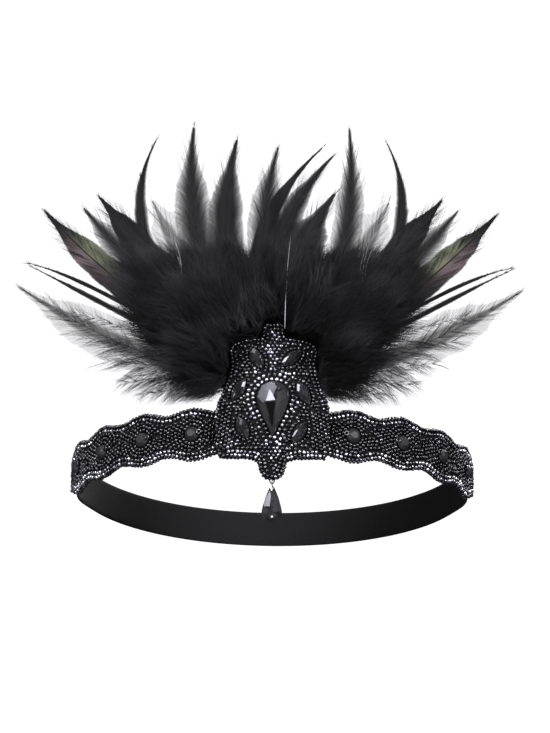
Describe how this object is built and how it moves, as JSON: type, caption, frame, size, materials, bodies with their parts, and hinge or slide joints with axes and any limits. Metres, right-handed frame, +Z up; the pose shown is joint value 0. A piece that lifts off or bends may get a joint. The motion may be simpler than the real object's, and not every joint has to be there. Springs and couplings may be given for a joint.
{
  "type": "flapper feather headband",
  "caption": "Beaded scalloped headband with an elastic back, a centre motif of cut stones with a hanging faceted drop, and a plume of marabou fluff and hackle feathers.",
  "frame": {"origin": "middle of the head loop, where the wearer's head fills it, at the height of the band's middle line", "axes": "+Z up as worn, -Y to the front, +X to the right as seen from the front"},
  "size_m": [0.2194, 0.185, 0.1892],
  "materials": {
    "felt": "matte black felt",
    "elastic": "matte black woven elastic",
    "marabou": "soft black marabou fluff",
    "hackle": "black hackle feather with a dark green and violet sheen",
    "stone": "cut jet glass with a lavender grey shine",
    "jet": "cut black glass",
    "wire": "gunmetal wire"
  },
  "bodies": {
    "headband": {"band_base": "felt", "elastic_strap": "elastic", "motif_base": "felt", "marabou_fluff": "marabou", "hackle_fan": "hackle", "pear_stone": "stone", "navette_top_left": "stone", "navette_top_right": "stone", "navette_mid_left": "stone", "navette_mid_right": "stone", "navette_low_left": "stone", "navette_low_right": "stone", "band_stone_l1": "jet", "band_stone_l2": "jet", "band_stone_l3": "jet", "band_stone_l4": "jet", "band_stone_r1": "jet", "band_stone_r2": "jet", "band_stone_r3": "jet", "band_stone_r4": "jet", "drop_eyelet": "wire"},
    "drop_ring": {"drop_ring": "wire"},
    "drop": {"drop_stone": "stone"}
  },
  "joints": [
    {"name": "ring_swing", "type": "hinge", "parent": "headband", "child": "drop_ring", "pos_m": [0, -0.07926, 0.00021], "axis": [1, 0, 0], "range_deg": [-60, 60]},
    {"name": "drop_swing", "type": "hinge", "parent": "drop_ring", "child": "drop", "pos_m": [0, -0.07926, -0.00164], "axis": [0, 1, 0], "range_deg": [-60, 60]}
  ]
}
